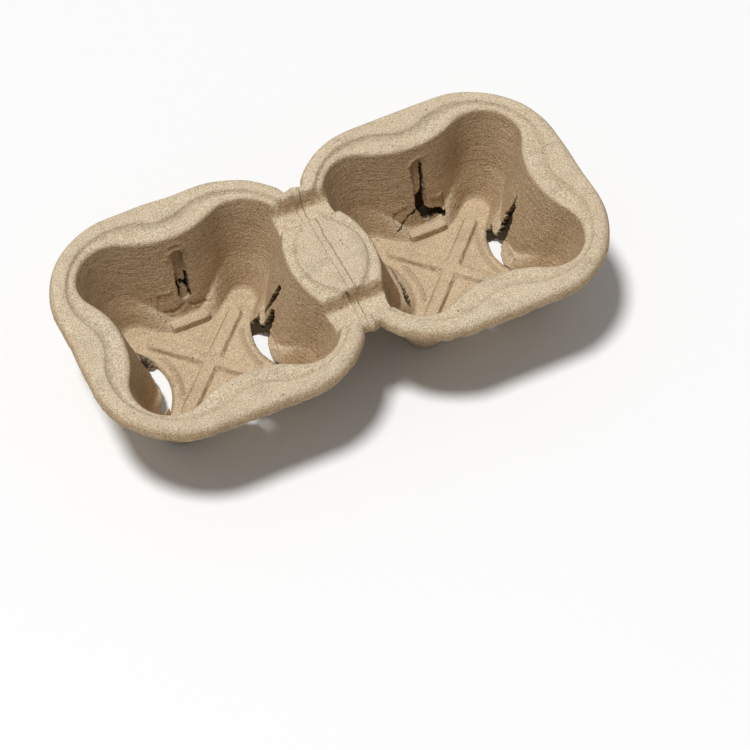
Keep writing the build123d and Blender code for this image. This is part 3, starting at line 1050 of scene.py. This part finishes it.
# %% Sunken places, ragged edge and thickness
RAGGED_LEVELS = (-RAGGED_FROM - 3, -RAGGED_FROM)
moves, thin, shade = [], [], []
bm.normal_update()
for vertex in bm.verts:
    where, _, level, past_floor = on_side(vertex.co)
    move, weight = Vector((0, 0, 0)), 1.0
    # painted shade from the ribs and the tear lines, and a painted shade line along the foot of the step
    dark = max(painted_shade.get(vertex, 0.0), PAINTED_SHADES["step"] * (1 - from_step(vertex.co) / STEP_SHADE_WIDTH))
    if RAGGED_LEVELS[0] < level < RAGGED_LEVELS[1] and past_rim(vertex.co) > -1.2:
        move, weight = rim_finish(vertex, level)
    elif level < WALL_TOP and past_floor > -1.0:
        move, weight, dark = wall_finish(vertex, where, past_floor, dark)
    moves.append(move * MM)
    thin.append(weight)
    shade.append(dark)
for vertex, move, weight in zip(bm.verts, moves, thin):
    vertex.co += move
    lowest = (LOW[0], LOW[1], (WALL * weight + CLEARANCE) * MM)
    vertex.co = [min(max(value, low), high) for value, low, high in zip(vertex.co, lowest, HIGH)]
bm.to_mesh(sheet)
bm.free()
print("thin points:", sum(weight < 0.95 for weight in thin))

# %% [markdown]
# ## Raised bars on the floor
#
# On its front and back side, each floor ends in a flat raised bar. Seen from above, it is a
# rectangle with soft corners, which one formula gives: the higher the power, the squarer it is.

# %% One bar, grown from a grid, and its four copies
BAR_HALF = (9.0, 3.0)
BAR_RISE = 3.2
BAR_MIDDLE = 21.8
BAR_DRAFT = 0.7
BAR_FOOT_GAP = 0.5
BAR_TOP_ROWS, BAR_EDGE_ROWS, BAR_ROWS = 2, 6, 8
BAR_COLUMNS, BAR_POWER = 56, 8.0


def bar_tree():
    """The floor's four raised bars, which are copies of one grid."""
    tree, g, size = shape_tree("floor bar", {"Half length": BAR_HALF[0], "Half width": BAR_HALF[1],
                                             "Rise": BAR_RISE, "Rounding": 0.9,
                                             "Draft": BAR_DRAFT})
    grid = g.node("GeometryNodeMeshGrid", {}, {"Size X": BAR_ROWS, "Vertices X": BAR_ROWS + 1,
                                               "Size Y": BAR_COLUMNS, "Vertices Y": BAR_COLUMNS + 1})
    px, py, _ = g.axes(g.node("GeometryNodeInputPosition"))
    row = px + BAR_ROWS / 2
    turn = py * (2 * math.pi / BAR_COLUMNS)
    middle = g.ramp(row, 0, BAR_TOP_ROWS)
    curl = math.pi / 2 * g.ramp(row, BAR_TOP_ROWS, BAR_EDGE_ROWS)
    side = g.ramp(row, BAR_EDGE_ROWS, BAR_ROWS)
    inset = size["Rounding"] * (1.0 - g.math("SINE", curl)) + size["Draft"] * (1.0 - side)
    cosine, sine = g.math("COSINE", turn), g.math("SINE", turn)
    across = g.math("POWER", abs(cosine) / (size["Half length"] - inset), BAR_POWER)
    beside = g.math("POWER", abs(sine) / (size["Half width"] - inset), BAR_POWER)
    reach = middle / g.math("POWER", across + beside, 1.0 / BAR_POWER)
    z = FLOOR_LEVEL + size["Rise"] - size["Rounding"] * (1.0 - g.math("COSINE", curl))
    z = z - (WALL + size["Rise"] - size["Rounding"] - BAR_FOOT_GAP) * side
    bar = g.node("GeometryNodeSetPosition", {}, {
        "Geometry": grid, "Position": g.vector(reach * cosine, reach * sine, z)})
    bar = g.node("GeometryNodeMergeByDistance", {}, {"Geometry": bar, "Distance": 0.01})
    bars = [g.node("GeometryNodeTransform", {}, {"Geometry": bar, "Translation": (x, y, 0)})
            for x in CELLS for y in (-BAR_MIDDLE, BAR_MIDDLE)]
    finish_tree(g, g.node("GeometryNodeJoinGeometry", {}, {"Geometry": bars}), size["Material"])
    return tree


bars = grown_mesh(bar_tree(), {"Material": pulp}, "bars")
print("bar points:", len(bars.vertices))

# %% [markdown]
# ## One shell
#
# The bars join the sheet, and the sheet gets its thickness, on the side away from the cups. Each
# point's shade is kept as an attribute, which the material reads, and its weight as a vertex group,
# which says what share of the full two millimetres the wall has there.

# %% Join the parts of the sheet and give it its thickness
bm = bmesh.new()
bm.from_mesh(sheet)
bm.from_mesh(bars)
bm.to_mesh(sheet)
bm.free()
shell = bpy.data.objects.new("pulp_shell", sheet)
bpy.context.scene.collection.objects.link(shell)
for polygon in sheet.polygons:
    polygon.use_smooth = True
shade += [0.0] * (len(sheet.vertices) - len(shade))
sheet.attributes.new("shade", "FLOAT", "POINT").data.foreach_set("value", shade)
group = shell.vertex_groups.new(name="thickness")
for index in range(len(sheet.vertices)):
    group.add([index], thin[index] if index < len(thin) else 1.0, "REPLACE")
thick = shell.modifiers.new("thickness", "SOLIDIFY")
thick.thickness = WALL * MM
thick.offset = -1.0
thick.vertex_group = "thickness"
print("shell points:", len(sheet.vertices), "faces:", len(sheet.polygons))

# %% [markdown]
# ## The look of pulp
#
# Pulp is paper fibre, water and little else, so it has no gloss. Its colour comes from a mix of
# bleached and unbleached fibres, its grain from fibre ends about half a millimetre across, and its
# dark specks from ink and bark. On the steep walls the fibres have slid down the mould and lie in
# long flat streaks. All of it is noise on the object's own coordinates, at its real size.
#
# The painted shade, which darkens folds, ribs, steps and edges and paints the pits black as shadow,
# belongs to the side that faces the cup, so the material works out which side a point is on. On the
# inside of a pocket the surface faces the cup's centre or looks up, and on the outside it faces away
# or looks down. The steep walls are painted darker and browner too, as painted shade.

# %% Pulp material
PULP_COLOURS = [(0.0, (0.30, 0.215, 0.13, 1)), (0.35, (0.47, 0.36, 0.235, 1)),
                (0.6, (0.60, 0.48, 0.33, 1)), (1.0, (0.80, 0.69, 0.52, 1))]
FIBRE_COLOUR = (0.33, 0.24, 0.15, 1)
SPECK_COLOUR = (0.16, 0.105, 0.06, 1)
# tint of the painted shade on the steep walls
WALL_SHADE_TINT = (0.82, 0.735, 0.635, 1)
# the brown of light painted shade and the black of deep painted shade and of the pits' painted shadow
SOFT_SHADE_COLOUR = (0.20, 0.125, 0.065, 1)
DEEP_SHADE_COLOUR = (0.03, 0.019, 0.01, 1)
FIBRE_LINES = ((420.0, (1, 0.16, 1)), (420.0, (0.16, 1, 1)), (380.0, (0.7, 0.7, 0.14)))
GRAIN, FELT, CLOUDS, SPECKS = 1750.0, 420.0, 55.0, 330.0


def finish_pulp(material):
    """The pulp's colour and relief, as sums of noise."""
    material.use_nodes = True
    tree = material.node_tree
    g = Graph(tree)
    shader = tree.nodes["Principled BSDF"]
    place = g.node("ShaderNodeTexCoord", output="Object")

    def blend(share, first, second, kind="MIX"):
        """A blend of two colours."""
        return g.node("ShaderNodeMix", {"data_type": "RGBA", "blend_type": kind},
                      {0: share, 6: first, 7: second}, 2)

    def fibre_noise(scale, detail=2.0, rough=0.6, stretch=(1, 1, 1), warp=0.0):
        """Noise whose grain is 1 / scale metres across, stretched along the axes."""
        where = g.node("ShaderNodeMapping", {}, {"Vector": place, "Scale": stretch})
        return g.node("ShaderNodeTexNoise", {}, {"Vector": where, "Scale": scale, "Detail": detail,
                                                 "Roughness": rough, "Distortion": warp})

    facing_x, facing_y, steep = g.axes(g.node("ShaderNodeNewGeometry", output="Normal"))
    x, y, z = g.axes(place)
    aside = abs(x) - PITCH / 2 * MM
    outwards = aside * facing_x * g.math("SIGN", x) + y * facing_y
    outwards = outwards / g.math("MAXIMUM", g.math("SQRT", aside * aside + y * y), MM)
    inside = g.ramp(steep - outwards, 0.0, 0.4)
    wall_share = g.ramp(abs(steep), 0.45, 0.9, 1.0, 0.0, soft=True)
    low = g.ramp(z, 0.004, 0.012, 0.55, 0.0)

    cloud = g.ramp(fibre_noise(CLOUDS, 3.0), 0.3, 0.7, -1.0, 1.0)
    grain = g.ramp(fibre_noise(GRAIN, 2.0, 0.7), 0.3, 0.7, -1.0, 1.0)
    felt = g.ramp(fibre_noise(FELT, 3.0, 0.65, warp=1.2), 0.3, 0.7, -1.0, 1.0)
    streak = g.ramp(fibre_noise(300.0, 4.0, 0.65, stretch=(0.45, 0.45, 1.9), warp=1.0),
                    0.3, 0.7, -1.0, 1.0)
    light = 0.62 + 0.05 * cloud + 0.46 * grain + 0.07 * felt + 0.08 * streak * wall_share

    dots = {"Vector": place, "Scale": SPECKS, "Randomness": 1.0}
    from_dot = g.node("ShaderNodeTexVoronoi", {}, dots)
    chosen = g.axes(g.node("ShaderNodeTexVoronoi", {}, dots, "Color"))[0]
    speck = g.ramp(from_dot, 0.10, 0.20, 1.0, 0.0, soft=True) * (chosen > 0.86)

    lines = None
    for scale, stretch in FIBRE_LINES:
        line = g.ramp(abs(fibre_noise(scale, 1.0, 0.5, stretch, 1.5) - 0.5), 0.0, 0.02, 1.0, 0.0)
        gate = g.ramp(fibre_noise(130.0 + 10 * stretch[0], 1.0), 0.56, 0.62)
        line = line * gate
        lines = line if lines is None else g.math("MAXIMUM", lines, line)

    colour = g.node("ShaderNodeValToRGB", {"stops": PULP_COLOURS}, {"Fac": light})
    colour = blend(lines * 0.22, colour, FIBRE_COLOUR)
    colour = blend(speck * 0.65, colour, SPECK_COLOUR)
    # steep walls are painted darker and browner, as painted shade; the colour also darkens towards the
    # bottom, within about a centimetre of the ground
    colour = blend(g.math("MAXIMUM", wall_share, low), colour, WALL_SHADE_TINT, "MULTIPLY")
    # painted shade and the pits' painted shadow, only on the side that faces the cup
    shade = g.node("ShaderNodeAttribute", {"attribute_name": "shade"}, {}, "Fac") * inside
    colour = blend(shade, colour, blend(g.ramp(shade, 0.25, 0.8), SOFT_SHADE_COLOUR, DEEP_SHADE_COLOUR))
    tree.links.new(colour.socket, shader.inputs["Base Color"])
    shader.inputs["Roughness"].default_value = 0.95
    shader.inputs["Specular IOR Level"].default_value = 0.15

    height = 0.3 * grain + 0.55 * felt + 0.6 * streak * wall_share - 0.5 * lines
    bump = g.node("ShaderNodeBump", {}, {"Height": height, "Strength": 0.8, "Distance": 0.00026})
    tree.links.new(bump.socket, shader.inputs["Normal"])
    return tree


print("nodes of the pulp:", len(finish_pulp(pulp).nodes))

# %% [markdown]
# ## The carrier's place in the model
#
# The shell rides on the only body, has one material slot, and takes the place of the CAD model's one
# solid.

# %% Hand the shell over
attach(shell, "root")
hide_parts("cup_carrier")
print("shell in mm:", [round(value / MM, 1) for value in shell.dimensions])

# %% [markdown]
# ## Camera
#
# The carrier is seen from the front left and well from above, so that both floors show. The lens is
# long and stands more than a metre away, as for a product picture, which keeps the far cell nearly
# as large as the near one. The focal length is in picture points, for a picture 750 points wide.

# %% Camera
FOCAL = 2712.0
PICTURE_WIDTH = 750
SENSOR_WIDTH = 36
camera = bpy.data.objects.new("camera", bpy.data.cameras.new("camera"))
bpy.context.scene.collection.objects.link(camera)
camera.data.lens = FOCAL / PICTURE_WIDTH * SENSOR_WIDTH
camera.data.clip_end = 10
camera.location = Vector((-268.6, -597.4, 899.6)) * MM
look = Vector((0.248, 0.515, -0.821))
camera.rotation_euler = look.to_track_quat("-Z", "Y").to_euler()
bpy.context.scene.camera = camera
print("lens in mm:", round(camera.data.lens, 1))

# %% [markdown]
# ## Floor and light
#
# A pale floor and a white sky give most of a soft studio light. One broad lamp, high and a little to
# the left and behind, throws the soft shadows that make the folds readable.

# %% Floor and light
FLOOR_HALF = 4
FLOOR_GREY = 0.865
SKY_STRENGTH = 0.25
LAMP_STRENGTH = 2.85
LAMP_SPREAD = 12
LAMP_DIRECTION = (0.22, -0.12, -1.0)

floor = bpy.data.meshes.new("floor")
corners = [(FLOOR_HALF * x, FLOOR_HALF * y, 0) for x, y in ((-1, -1), (1, -1), (1, 1), (-1, 1))]
floor.from_pydata(corners, [], [(0, 1, 2, 3)])
floor_object = bpy.data.objects.new("floor", floor)
bpy.context.scene.collection.objects.link(floor_object)
floor_material = bpy.data.materials.new("floor")
floor_material.use_nodes = True
paint = floor_material.node_tree.nodes["Principled BSDF"]
paint.inputs["Base Color"].default_value = (FLOOR_GREY, FLOOR_GREY, FLOOR_GREY, 1)
floor.materials.append(floor_material)

world = bpy.data.worlds.new("world")
bpy.context.scene.world = world
world.use_nodes = True
world.node_tree.nodes["Background"].inputs["Color"].default_value = (1, 1, 1, 1)
world.node_tree.nodes["Background"].inputs["Strength"].default_value = SKY_STRENGTH
lamp = bpy.data.objects.new("key", bpy.data.lights.new("key", "SUN"))
bpy.context.scene.collection.objects.link(lamp)
lamp.data.energy = LAMP_STRENGTH
lamp.data.angle = math.radians(LAMP_SPREAD)
lamp.rotation_euler = Vector(LAMP_DIRECTION).to_track_quat("-Z", "Y").to_euler()
bpy.context.scene.view_settings.view_transform = "Standard"
print("floor grey:", FLOOR_GREY, "lamp:", LAMP_STRENGTH)

# %% [markdown]
# ## The two boxes
#
# The box of the CAD model was printed when it was loaded, and the shell's size when it was handed over.
